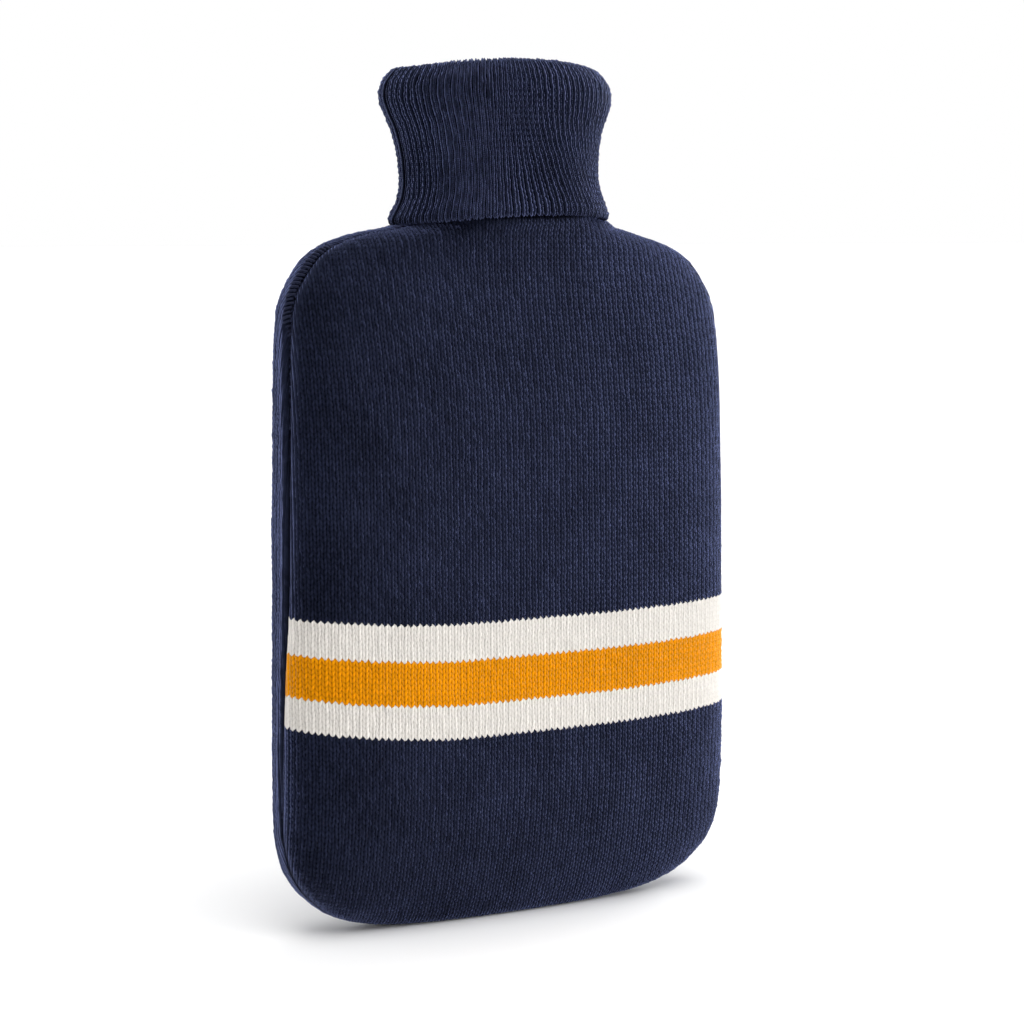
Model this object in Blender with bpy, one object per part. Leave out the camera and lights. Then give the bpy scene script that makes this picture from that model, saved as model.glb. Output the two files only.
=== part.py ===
"""Knitted hot water bottle cover: a front panel, a back panel and a turned-down rib collar.

The cover stands upright on its own closed bottom edge. X runs across it, -Y is the front, +Z is
up, and the origin is on the floor under the middle of its box. All sizes are in metres.
"""
from collections import namedtuple

import bmesh
import bpy
import numpy as np

# Driving dimensions
KNIT_THICKNESS = 0.0026   # one layer of the thick stocking knit
CLEARANCE = 0.0003        # gap where two knitted pieces meet
BODY_FORWARD = 0.0030     # the body's middle plane stands this far in front of the collar's
SHIFT_START = 0.200       # height where the body begins to bend back towards the collar
SHIFT_END = 0.285         # height of the neckline, where the bend is complete
LEAN = -0.0025            # sideways lean of the neck, reached LEAN_RUN above LEAN_START
LEAN_START = 0.262
LEAN_RUN = 0.066
RIGHT_CORNER = 0.0016     # the lower right corner is this much fuller than the left one
CORNER_HEIGHT = 0.015     # where that corner is fullest

PANEL_COLUMNS = 25        # faces across each panel
RING_SAMPLES = 361        # samples round half a section when its length is measured

# Stripe edges on the front panel, as heights above the floor
STRIPE_TOP = 0.1214
AMBER_TOP = 0.1069
AMBER_BOTTOM = 0.0896
STRIPE_BOTTOM = 0.0764

# Sections of the filled body, bottom to top. squareness is the exponent of the section's oval:
# 2 is an ellipse, more is squarer. seam is how far in front of the middle plane the side seam is.
Section = namedtuple("Section", "height half_width half_depth squareness seam")
BODY_SECTIONS = (
    Section(0.0000, 0.0520, 0.0090, 2.3, 0.0000),
    Section(0.0010, 0.0608, 0.0100, 2.3, 0.0003),
    Section(0.0030, 0.0696, 0.0113, 2.4, 0.0010),
    Section(0.0065, 0.0785, 0.0131, 2.5, 0.0020),
    Section(0.0120, 0.0860, 0.0155, 2.6, 0.0032),
    Section(0.0200, 0.0935, 0.0184, 2.6, 0.0040),
    Section(0.0300, 0.0981, 0.0211, 2.6, 0.0042),
    Section(0.0430, 0.1000, 0.0233, 2.6, 0.0039),
    Section(0.0580, 0.0999, 0.0244, 2.7, 0.0038),
    Section(STRIPE_BOTTOM, 0.0997, 0.0246, 2.8, 0.0043),
    Section(AMBER_BOTTOM, 0.0994, 0.0246, 2.8, 0.0048),
    Section(AMBER_TOP, 0.0992, 0.0246, 2.8, 0.0056),
    Section(STRIPE_TOP, 0.0991, 0.0245, 2.8, 0.0068),
    Section(0.1380, 0.0989, 0.0243, 2.8, 0.0075),
    Section(0.1620, 0.0987, 0.0239, 2.8, 0.0077),
    Section(0.1860, 0.0985, 0.0233, 2.7, 0.0076),
    Section(0.2080, 0.0983, 0.0226, 2.6, 0.0073),
    Section(0.2260, 0.0978, 0.0219, 2.5, 0.0069),
    Section(0.2390, 0.0969, 0.0214, 2.3, 0.0063),
    Section(0.2480, 0.0946, 0.0211, 2.2, 0.0059),
    Section(0.2545, 0.0910, 0.0210, 2.1, 0.0057),
    Section(0.2600, 0.0870, 0.0210, 2.0, 0.0055),
    Section(0.2640, 0.0821, 0.0212, 2.0, 0.0052),
    Section(0.2677, 0.0745, 0.0215, 2.0, 0.0051),
    Section(0.2706, 0.0645, 0.0219, 2.0, 0.0052),
    Section(0.2729, 0.0540, 0.0226, 2.0, 0.0058),
    Section(0.2738, 0.0492, 0.0230, 2.0, 0.0068),
    Section(0.2744, 0.0440, 0.0236, 2.0, 0.0082),
    Section(0.2751, 0.0412, 0.0241, 2.0, 0.0094),
    Section(0.2775, 0.0403, 0.0244, 2.0, 0.0100),
    Section(SHIFT_END, 0.0402, 0.0244, 2.0, 0.0100),
)

# The collar's doubled layer as one closed loop: up the outside from the hem, over the fold, down
# the inside to the neckline, and back up and down between the two layers.
LoopPoint = namedtuple("LoopPoint", "height half_width half_depth rib")
RIB_COUNT = 92
RIB_DEPTH = 0.0010        # crest to groove
NECKLINE = SHIFT_END + CLEARANCE
COLLAR_LOOP = (
    LoopPoint(0.2788, 0.0448, 0.0285, 1.0),
    LoopPoint(0.2810, 0.0460, 0.0296, 1.0),
    LoopPoint(0.2856, 0.0447, 0.0287, 1.0),
    LoopPoint(0.2905, 0.0429, 0.0275, 1.0),
    LoopPoint(0.2960, 0.0421, 0.0270, 1.0),
    LoopPoint(0.3023, 0.0423, 0.0271, 1.0),
    LoopPoint(0.3093, 0.0434, 0.0278, 1.0),
    LoopPoint(0.3151, 0.0450, 0.0289, 1.0),
    LoopPoint(0.3210, 0.0476, 0.0305, 1.0),
    LoopPoint(0.3260, 0.0489, 0.0313, 1.0),
    LoopPoint(0.3309, 0.0482, 0.0307, 1.0),
    LoopPoint(0.3348, 0.0461, 0.0289, 1.0),
    LoopPoint(0.3378, 0.0433, 0.0263, 1.0),
    LoopPoint(0.3383, 0.0411, 0.0242, 1.0),
    LoopPoint(0.3360, 0.0391, 0.0228, 1.0),
    LoopPoint(0.3290, 0.0380, 0.0221, 0.5),
    LoopPoint(0.3110, 0.0371, 0.0214, 0.0),
    LoopPoint(0.2960, 0.0362, 0.0208, 0.0),
    LoopPoint(NECKLINE, 0.0374, 0.0216, 0.0),
    LoopPoint(NECKLINE, 0.0402, 0.0244, 0.0),
    LoopPoint(0.2960, 0.0388, 0.0234, 0.0),
    LoopPoint(0.3093, 0.0397, 0.0241, 0.0),
    LoopPoint(0.3230, 0.0424, 0.0262, 0.0),
    LoopPoint(0.3300, 0.0438, 0.0271, 0.0),
    LoopPoint(0.3230, 0.0456, 0.0283, 0.0),
    LoopPoint(0.3093, 0.0408, 0.0253, 0.0),
    LoopPoint(0.2960, 0.0395, 0.0244, 0.0),
    LoopPoint(0.2856, 0.0420, 0.0260, 0.0),
    LoopPoint(0.2788, 0.0422, 0.0261, 0.0),
)
HEM_TILT = 0.0007         # the hem rides this much higher at the right and lower at the left
HEM_DROP = 0.0029         # the hem hangs this much lower at its two sides than at the front
RIM_DROP = 0.0018         # the rolled top sinks this much at its two sides
RIM_DIP = 0.0017          # the rim itself sinks this much more there, from DIP_START up
DIP_START = 0.3270
HEM_HEIGHT = COLLAR_LOOP[0].height
RIM_HEIGHT = max(point.height for point in COLLAR_LOOP)


def smooth_ramp(value, start, end):
    """Ease from 0 at start to 1 at end."""
    ratio = np.clip((value - start) / (end - start), 0.0, 1.0)
    return ratio * ratio * (3.0 - 2.0 * ratio)


def centre_line(height):
    """Middle of the cover at a height: the body stands forward, and the neck leans sideways."""
    rise = np.maximum(height - LEAN_START, 0.0) / LEAN_RUN
    lean = LEAN * np.minimum(rise, 1.0) ** 1.5
    forward = BODY_FORWARD * (1.0 - smooth_ramp(height, SHIFT_START, SHIFT_END))
    return lean, -forward


def half_ring(half_width, half_depth, squareness):
    """Half of an oval section, from its front middle round the right side to its back middle.

    Returns x, y and the length along the curve at each sample.
    """
    turn = np.linspace(0.0, np.pi, RING_SAMPLES)
    x = half_width * np.abs(np.sin(turn)) ** (2.0 / squareness)
    y = -half_depth * np.sign(np.cos(turn)) * np.abs(np.cos(turn)) ** (2.0 / squareness)
    length = np.concatenate(([0.0], np.cumsum(np.hypot(np.diff(x), np.diff(y)))))
    return x, y, length


def along_ring(ring, distance):
    """Point at a signed distance from the front middle: right is positive, left is negative."""
    x, y, length = ring
    side = np.sign(distance)
    return side * np.interp(np.abs(distance), length, x), np.interp(np.abs(distance), length, y)


def body_row(section, share, front):
    """Points of one panel on one section; share runs from -1 at one seam to 1 at the other."""
    ring = half_ring(section.half_width, section.half_depth, section.squareness)
    seam_length = np.interp(-section.seam, ring[1], ring[2])
    full_length = ring[2][-1]
    if front:
        distance = share * (seam_length - CLEARANCE / 2.0)
        x, y = along_ring(ring, distance)
    else:
        distance = np.abs(share) * (full_length - seam_length - CLEARANCE / 2.0)
        x, y = along_ring(ring, full_length - distance)
        x = -np.sign(share) * x
    rise = abs(section.height / CORNER_HEIGHT - 1.0)
    fuller = RIGHT_CORNER * (1.0 - smooth_ramp(rise, 0.0, 1.6))
    x = x + fuller * np.maximum(x / section.half_width, 0.0) ** 2
    lean, middle = centre_line(section.height)
    return np.column_stack((x + lean, y + middle, np.full_like(x, section.height)))


def between(first, second, ratio):
    """Section part of the way from one section to another."""
    return Section(*(a + (b - a) * ratio for a, b in zip(first, second)))


def row_normals(index, share, front):
    """Outward directions along one row, from its neighbours along and across the panel."""
    step = 0.02
    section = BODY_SECTIONS[index]
    above = BODY_SECTIONS[min(index + 1, len(BODY_SECTIONS) - 1)]
    below = BODY_SECTIONS[max(index - 1, 0)]
    across = body_row(section, share + step, front) - body_row(section, share - step, front)
    up_first = body_row(between(section, above, 0.3), share, front)
    up_last = body_row(between(section, below, 0.3), share, front)
    normals = np.cross(across, up_first - up_last)
    normals /= np.linalg.norm(normals, axis=1)[:, None]
    if index == 0:
        normals = normals + np.array((0.0, 0.0, -1.0))
        normals /= np.linalg.norm(normals, axis=1)[:, None]
    return normals


def knit_material(name, colour, roughness=0.92):
    """Matt wool-like knit in one colour."""
    material = bpy.data.materials.new(name)
    material.use_nodes = True
    shader = material.node_tree.nodes["Principled BSDF"]
    shader.inputs["Base Color"].default_value = (*colour, 1.0)
    shader.inputs["Roughness"].default_value = roughness
    shader.inputs["Metallic"].default_value = 0.0
    material.diffuse_color = (*colour, 1.0)
    return material


def add_object(name, bm, materials):
    """Turn a bmesh into an object with outward faces and soft shading."""
    bmesh.ops.remove_doubles(bm, verts=bm.verts, dist=1e-6)
    bmesh.ops.triangulate(bm, faces=bm.faces)
    bmesh.ops.dissolve_degenerate(bm, edges=bm.edges, dist=1e-7)
    bmesh.ops.recalc_face_normals(bm, faces=bm.faces)
    mesh = bpy.data.meshes.new(name)
    bm.to_mesh(mesh)
    bm.free()
    mesh.shade_smooth()
    mesh.set_sharp_from_angle(angle=np.radians(40.0))
    for material in materials:
        mesh.materials.append(material)
    obj = bpy.data.objects.new(name, mesh)
    bpy.context.scene.collection.objects.link(obj)
    return obj


def stripe_slot(height):
    """Material slot of the front panel at a height: 0 navy, 1 cream, 2 amber."""
    if AMBER_BOTTOM < height < AMBER_TOP:
        return 2
    if STRIPE_BOTTOM < height < STRIPE_TOP:
        return 1
    return 0


def build_panel(name, front, materials):
    """One half of the body: a knitted shell from the bottom seam up to the neckline."""
    share = np.linspace(-1.0, 1.0, PANEL_COLUMNS + 1)
    outer = []
    inner = []
    for index, section in enumerate(BODY_SECTIONS):
        row = body_row(section, share, front)
        outer.append(row)
        inner.append(row - KNIT_THICKNESS * row_normals(index, share, front))
    # The bottom seam: the flat underside reaches the middle plane.
    seam_row = outer[0].copy()
    seam_side = -1.0 if front else 1.0
    seam_row[:, 1] = -BODY_FORWARD + seam_side * CLEARANCE / 2.0
    seam_inner = inner[0].copy()
    seam_inner[:, 1] = seam_row[:, 1]
    seam_inner[:, 2] = KNIT_THICKNESS
    ends = [0, -1]
    seam_inner[ends] = inner[0][ends]
    seam_row[ends] = outer[0][ends]
    inner[0][1:-1, 2] = KNIT_THICKNESS
    outer.insert(0, seam_row)
    inner.insert(0, seam_inner)

    bm = bmesh.new()
    outer_verts = [[bm.verts.new(point) for point in row] for row in outer]
    inner_verts = [[bm.verts.new(point) for point in row] for row in inner]
    rows = len(outer)
    columns = len(share)

    def add_face(corners, slot=0):
        face = bm.faces.new(corners)
        face.material_index = slot

    for r in range(rows - 1):
        slot = stripe_slot((outer[r][0][2] + outer[r + 1][0][2]) / 2.0) if front else 0
        for c in range(columns - 1):
            for verts in (outer_verts, inner_verts):
                add_face((verts[r][c], verts[r][c + 1], verts[r + 1][c + 1], verts[r + 1][c]), slot)
        for c in (0, columns - 1):
            add_face((outer_verts[r][c], outer_verts[r + 1][c],
                      inner_verts[r + 1][c], inner_verts[r][c]), slot)
    for r in (0, rows - 1):
        for c in range(columns - 1):
            add_face((outer_verts[r][c], outer_verts[r][c + 1],
                      inner_verts[r][c + 1], inner_verts[r][c]))
    return add_object(name, bm, materials)


def build_collar(material):
    """The neck's rib tube, folded down on itself, with its ribs raised on the side that shows."""
    columns = 2 * RIB_COUNT
    bm = bmesh.new()
    loops = []
    for point in COLLAR_LOOP:
        ring = half_ring(point.half_width, point.half_depth, 2.0)
        distance = np.linspace(-1.0, 1.0, columns, endpoint=False) * ring[2][-1]
        x, y = along_ring(ring, distance)
        out_x, out_y = x / point.half_width ** 2, y / point.half_depth ** 2
        size = np.hypot(out_x, out_y)
        relief = point.rib * RIB_DEPTH * (np.arange(columns) % 2 - 0.5)
        x = x + relief * out_x / size
        y = y + relief * out_y / size
        rise = (point.height - HEM_HEIGHT) / (RIM_HEIGHT - HEM_HEIGHT)
        aside = x / point.half_width
        tilt = HEM_TILT * aside * (1.0 - rise)
        dip = RIM_DIP * smooth_ramp(point.height, DIP_START, RIM_HEIGHT)
        drop = (HEM_DROP + (RIM_DROP - HEM_DROP) * rise + dip) * aside ** 2
        follows = 0.0 if point.height == NECKLINE else 1.0
        height = point.height + follows * (tilt - drop)
        lean, middle = centre_line(point.height)
        loops.append([bm.verts.new(co) for co in zip(x + lean, y + middle, height)])
    for lower, upper in zip(loops, loops[1:] + loops[:1]):
        for c in range(columns):
            following = (c + 1) % columns
            bm.faces.new((lower[c], lower[following], upper[following], upper[c]))
    return add_object("collar", bm, [material])


for old in list(bpy.data.objects):
    bpy.data.objects.remove(old)

navy = knit_material("navy_knit", (0.018, 0.022, 0.058))
cream = knit_material("cream_knit", (0.80, 0.77, 0.70))
amber = knit_material("amber_knit", (0.86, 0.34, 0.012))
rib = knit_material("navy_rib", (0.017, 0.021, 0.055))

build_panel("front_panel", True, (navy, cream, amber))
build_panel("back_panel", False, (navy,))
build_collar(rib)
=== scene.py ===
"""Looks of a knitted hot water bottle cover, in the frame of its solids.

X runs across the cover, -Y is its striped front and +Z is up. All sizes are in metres.
"""
from functools import partial

import bmesh
import bpy
import numpy as np
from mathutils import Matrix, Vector
from mathutils.geometry import delaunay_2d_cdt


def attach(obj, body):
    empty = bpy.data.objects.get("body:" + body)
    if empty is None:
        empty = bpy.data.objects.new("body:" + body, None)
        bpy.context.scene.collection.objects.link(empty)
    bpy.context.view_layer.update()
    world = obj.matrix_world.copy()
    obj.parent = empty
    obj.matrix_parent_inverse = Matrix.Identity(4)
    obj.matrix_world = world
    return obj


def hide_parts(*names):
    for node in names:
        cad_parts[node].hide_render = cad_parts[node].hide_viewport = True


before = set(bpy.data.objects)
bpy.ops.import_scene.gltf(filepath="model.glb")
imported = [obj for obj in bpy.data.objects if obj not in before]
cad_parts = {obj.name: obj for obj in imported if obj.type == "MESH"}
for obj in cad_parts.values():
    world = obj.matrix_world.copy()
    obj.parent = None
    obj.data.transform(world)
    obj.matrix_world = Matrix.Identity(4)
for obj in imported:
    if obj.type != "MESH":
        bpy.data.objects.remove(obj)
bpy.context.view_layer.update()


# ----------------------------------------
# Front panel
# The striped front: one piece of thick wool-like yarn, machine knitted in stocking stitch, bent
# round the filled bottle and sewn to the back panel along both sides and under the foot.
# ----------------------------------------
KNIT_THICKNESS = 0.0026
CLEARANCE = 0.0003
BODY_FORWARD = 0.0030     # the body's middle plane stands this far in front of the collar's
SHIFT_START = 0.200       # height where the body begins to bend back towards the collar
SHIFT_END = 0.285         # the neckline
LEAN = -0.0025            # sideways lean of the neck
LEAN_START = 0.262
LEAN_RUN = 0.066
LEAN_CURVE = 1.5
FOOT_DEPTH = 0.009        # from the foot's seam to its front or back edge
RIGHT_CORNER = 0.0016     # the lower right corner is this much fuller than the left one
CORNER_HEIGHT = 0.015     # where that corner is fullest
CORNER_REACH = 1.6        # it fades out this many times that height away
SHOULDER_TILT = 0.012     # the shoulders climb this much a metre towards the left
TILT_START = (0.215, 0.262)     # heights over which that climb sets in
TILT_END = (0.2706, 0.2738)     # and over which it is lost again at the neck
NECK_RISE = 0.0030        # the right shoulder climbs this much to meet the collar's hem
NECK_RISE_LEFT = 0.0008   # and the left one this much
RISE_START = (0.2735, 0.2743)   # heights over which that rise sets in
RISE_END = (0.2751, 0.2800)     # and over which it is lost again, behind the hem

# The filled body from the floor up: height, half width, half depth, squareness of the oval, and
# how far in front of the middle plane the side seam runs.
BODY_SECTIONS = np.array((
    (0.0000, 0.0520, 0.0090, 2.3, 0.0000),
    (0.0010, 0.0608, 0.0100, 2.3, 0.0003),
    (0.0030, 0.0696, 0.0113, 2.4, 0.0010),
    (0.0065, 0.0785, 0.0131, 2.5, 0.0020),
    (0.0120, 0.0860, 0.0155, 2.6, 0.0032),
    (0.0200, 0.0935, 0.0184, 2.6, 0.0040),
    (0.0300, 0.0981, 0.0211, 2.6, 0.0042),
    (0.0430, 0.1000, 0.0233, 2.6, 0.0039),
    (0.0580, 0.0999, 0.0244, 2.7, 0.0038),
    (0.0764, 0.0997, 0.0246, 2.8, 0.0043),
    (0.0896, 0.0994, 0.0246, 2.8, 0.0048),
    (0.1069, 0.0992, 0.0246, 2.8, 0.0056),
    (0.1214, 0.0991, 0.0245, 2.8, 0.0068),
    (0.1380, 0.0989, 0.0243, 2.8, 0.0075),
    (0.1620, 0.0987, 0.0239, 2.8, 0.0077),
    (0.1860, 0.0985, 0.0233, 2.7, 0.0076),
    (0.2080, 0.0983, 0.0226, 2.6, 0.0073),
    (0.2260, 0.0978, 0.0219, 2.5, 0.0069),
    (0.2390, 0.0969, 0.0214, 2.3, 0.0063),
    (0.2480, 0.0946, 0.0211, 2.2, 0.0059),
    (0.2545, 0.0910, 0.0210, 2.1, 0.0057),
    (0.2600, 0.0870, 0.0210, 2.0, 0.0055),
    (0.2640, 0.0821, 0.0212, 2.0, 0.0052),
    (0.2677, 0.0745, 0.0215, 2.0, 0.0051),
    (0.2706, 0.0645, 0.0219, 2.0, 0.0052),
    (0.2729, 0.0540, 0.0226, 2.0, 0.0058),
    (0.2738, 0.0492, 0.0230, 2.0, 0.0068),
    (0.2744, 0.0440, 0.0236, 2.0, 0.0082),
    (0.2751, 0.0412, 0.0241, 2.0, 0.0094),
    (0.2775, 0.0403, 0.0244, 2.0, 0.0100),
    (SHIFT_END, 0.0402, 0.0244, 2.0, 0.0100),
))

WALE_PITCH = 0.0026       # one column of stitches
COURSE_PITCH = 0.00214    # one row of stitches
STITCH_COLUMNS = 4        # mesh columns in one stitch: its two legs and the slits beside them
STITCH_ROWS = 2           # mesh rows in one stitch
LEG_SLOPE = 0.66          # the legs of the V rise this share of a row from its middle outwards
STITCH_RELIEF = 0.00085   # slit to the crown of a leg
WALE_LEAN = 0.0030        # the columns drift this far to the left over the shoulders
DRIFT_START = (0.190, 0.268)    # heights over which that drift sets in
FIRST_ROW = -44           # rows counted from the lower edge of the stripes
LAST_ROW = 103
FRONT_REACH = 0.112       # half the panel's width along the knit, with a margin
LONGEST_REACH = 0.150     # more than either panel's half width
STEP = 0.00025            # spacing of the measured form
OUTLINE_POINTS = 1441     # in half of a section's outline
FEELER = 0.0006           # distance over which the surface's direction is measured
FACING = {"front": 1.0, "back": -1.0}
STRAIGHT_HEIGHT = 0.162   # where the columns are laid out, and run straight up
SIDE_START = 0.078        # from this far out the columns turn round the side, evenly spaced
SIDE_SHARE = 0.84         # or from this share of the half width, where the body is narrower

# Rows counted from the lower edge of the stripes, and their distance from it along the knit:
# cream to row 6, amber to row 14, cream to row 21.
ROW_COUNT = (-60.0, 0.0, 6.0, 14.0, 21.0, 121.0)
ROW_DISTANCE = (-60.0 * COURSE_PITCH, 0.0, 0.0132, 0.0305, 0.0450, 0.0450 + 100.0 * COURSE_PITCH)
STRIPE_BOTTOM = 0.0764
AMBER_ROWS = (6.0, 14.0)
STRIPE_ROWS = (0.0, 21.0)
BOW_LEFT = 0.0071         # the rows pull up this much towards the left seam
BOW_RIGHT = 0.0016
BOW_START = 0.033         # they begin to pull up this far from the middle
BOW_RUN = 0.065
BOW_CURVE = 1.35
BOW_FADE = 0.140          # and run level again this far above the stripes' lower edge

INNER_SPACING = 0.006     # between the points of the plain inside
INNER_FLOOR = 0.6 * KNIT_THICKNESS      # the inside stays this far above the table
SEAM_ALLOWANCE = 0.0004   # beside a seam, where the knit is pulled quite flat
CREASE_WIDTH = 0.0022     # beside a seam, where the knit turns in and painted shade darkens it
HEM_SHADE = (0.2758, 0.2774)    # heights over which a painted shadow of the collar darkens the neck
FAR_FROM_SEAM = 0.05      # mark of the points inside, which have no stitches
FRONT_SMOOTH = 0.0050     # the front's stitches show fully this far from a seam


def smooth_ramp(value, start, end):
    """Ease from 0 at start to 1 at end."""
    ratio = np.clip((value - start) / (end - start), 0.0, 1.0)
    return ratio * ratio * (3.0 - 2.0 * ratio)


def smooth_curve(knots, values, where):
    """Curve through the knots without overshoot."""
    step = np.diff(knots)
    rise = np.diff(values) / step
    slope = np.zeros(len(knots))
    slope[0], slope[-1] = rise[0], rise[-1]
    turning = rise[:-1] * rise[1:] <= 0.0
    near = np.where(turning, 1.0, rise[:-1])
    far = np.where(turning, 1.0, rise[1:])
    first = 2.0 * step[1:] + step[:-1]
    second = step[1:] + 2.0 * step[:-1]
    slope[1:-1] = np.where(turning, 0.0, (first + second) / (first / near + second / far))
    k = np.clip(np.searchsorted(knots, where) - 1, 0, len(step) - 1)
    t = (where - knots[k]) / step[k]
    held = (1.0 + 2.0 * t) * (1.0 - t) ** 2 * values[k] + t * t * (3.0 - 2.0 * t) * values[k + 1]
    return held + step[k] * t * (1.0 - t) * ((1.0 - t) * slope[k] - t * slope[k + 1])


def centre_line(height):
    """Middle of the cover at a height: the body stands forward, and the neck leans sideways."""
    rise = np.maximum(height - LEAN_START, 0.0) / LEAN_RUN
    lean = LEAN * np.minimum(rise, 1.0) ** LEAN_CURVE
    return lean, -BODY_FORWARD * (1.0 - smooth_ramp(height, SHIFT_START, SHIFT_END))


# Every section of the body, measured out along its own outline from the middle of a panel.
levels = np.arange(-FOOT_DEPTH, SHIFT_END + STEP / 2.0, STEP)
reach = np.arange(0.0, LONGEST_REACH, STEP * 2.0)
form = [smooth_curve(BODY_SECTIONS[:, 0], BODY_SECTIONS[:, c], np.maximum(levels, 0.0))
        for c in range(1, 5)]
ring_x = np.zeros((len(levels), len(reach)))
ring_y = np.zeros_like(ring_x)
turn = np.linspace(0.0, np.pi, OUTLINE_POINTS)
seam_reach = {side: np.zeros(len(levels)) for side in FACING}
for row, level in enumerate(levels):
    half_width, half_depth, squareness, seam = (column[row] for column in form)
    half_depth *= 1.0 + min(level, 0.0) / (FOOT_DEPTH + STEP / 4.0)
    power = 2.0 / squareness
    x = half_width * np.sin(turn) ** power
    y = -half_depth * np.sign(np.cos(turn)) * np.abs(np.cos(turn)) ** power
    length = np.concatenate(([0.0], np.cumsum(np.hypot(np.diff(x), np.diff(y)))))
    ring_x[row] = np.interp(reach, length, x)
    ring_y[row] = np.interp(reach, length, y)
    for side, facing in FACING.items():
        seam_reach[side][row] = np.interp(-facing * seam, y, length) - CLEARANCE / 2.0


def body_point(side, level, across):
    """Points of the body's outside: level is the height, or less than 0 under the foot, and
    across runs along the knit from the panel's middle, seen from outside, left to right."""
    row = np.clip((level - levels[0]) / STEP, 0.0, len(levels) - 1.001)
    column = np.clip(np.abs(across) / (reach[1] - reach[0]), 0.0, len(reach) - 1.001)
    r, c = row.astype(int), column.astype(int)
    fr, fc = row - r, column - c
    x, y = ((1 - fr) * ((1 - fc) * grid[r, c] + fc * grid[r, c + 1])
            + fr * ((1 - fc) * grid[r + 1, c] + fc * grid[r + 1, c + 1])
            for grid in (ring_x, ring_y))
    facing = FACING[side]
    height = np.maximum(level, 0.0)
    lean, middle = centre_line(height)
    x = facing * np.sign(across) * x
    half_width = ring_x[r].max(axis=-1)
    from_corner = np.abs(height / CORNER_HEIGHT - 1.0)
    fuller = RIGHT_CORNER * (1.0 - smooth_ramp(from_corner, 0.0, CORNER_REACH))
    tilt = SHOULDER_TILT * smooth_ramp(height, *TILT_START) * (1.0 - smooth_ramp(height, *TILT_END))
    near_neck = smooth_ramp(height, *RISE_START) * (1.0 - smooth_ramp(height, *RISE_END))
    to_right = np.maximum(x / half_width, 0.0) ** 2
    to_left = np.minimum(x / half_width, 0.0) ** 2
    rise = near_neck * (NECK_RISE * to_right + NECK_RISE_LEFT * to_left)
    return np.stack((x + fuller * to_right + lean, facing * y + middle, height - tilt * x + rise),
                    axis=-1)


def panel_grid(side, half_reach, bow_left, bow_right):
    """Level and place across of every mesh point, laid out stitch by stitch.

    Columns of stitches run straight up the body, and rows are evenly spaced along them. Where a
    column or row meets the seam it ends there.
    """
    wales = int(np.ceil(half_reach / WALE_PITCH))
    wale = np.arange(-wales * STITCH_COLUMNS, wales * STITCH_COLUMNS + 1) / STITCH_COLUMNS
    course = np.arange(FIRST_ROW * STITCH_ROWS, LAST_ROW * STITCH_ROWS + 1) / STITCH_ROWS
    flat = wale * WALE_PITCH
    facing = FACING[side]
    stripe_row = np.searchsorted(levels, STRIPE_BOTTOM)
    section = ring_x[np.searchsorted(levels, STRAIGHT_HEIGHT)]
    bend = np.interp(SIDE_START, section[:section.argmax()], reach[:section.argmax()])
    straight = (np.interp(np.minimum(np.abs(flat), bend), reach, section)
                + np.maximum(np.abs(flat) - bend, 0.0))
    drift = -facing * WALE_LEAN * smooth_ramp(levels, *DRIFT_START)
    path = np.zeros((len(levels), len(flat)))
    for row in range(len(levels)):
        target = np.sign(flat) * straight + drift[row]
        widest = ring_x[row].argmax() + 1
        start = min(SIDE_START, SIDE_SHARE * ring_x[row].max())
        face, side_edge = (np.interp(value, ring_x[row, :widest], reach[:widest])
                           for value in (np.abs(target), start))
        turned = side_edge + np.abs(target) - start
        path[row] = np.sign(target) * np.where(np.abs(target) < start, face, turned)
    level = np.zeros((len(course), len(wale)))
    across = np.zeros_like(level)
    for j in range(len(flat)):
        points = body_point(side, levels, path[:, j])
        length = np.concatenate(([0.0], np.cumsum(np.linalg.norm(np.diff(points, axis=0), axis=1))))
        length -= length[stripe_row]
        bow = bow_left if flat[j] < 0.0 else bow_right
        pull = bow * np.clip((straight[j] - BOW_START) / BOW_RUN, 0.0, 1.2) ** BOW_CURVE
        tooth = (np.abs(2.0 * (wale[j] % 1.0) - 1.0) - 0.5) * LEG_SLOPE
        distance = np.interp(course + tooth, ROW_COUNT, ROW_DISTANCE)
        distance += pull * np.clip(1.0 - distance / BOW_FADE, 0.0, 1.1)
        level[:, j] = np.interp(distance, length, levels)
        across[:, j] = np.interp(level[:, j], levels, path[:, j])
    return wale, course, level, across


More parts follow.
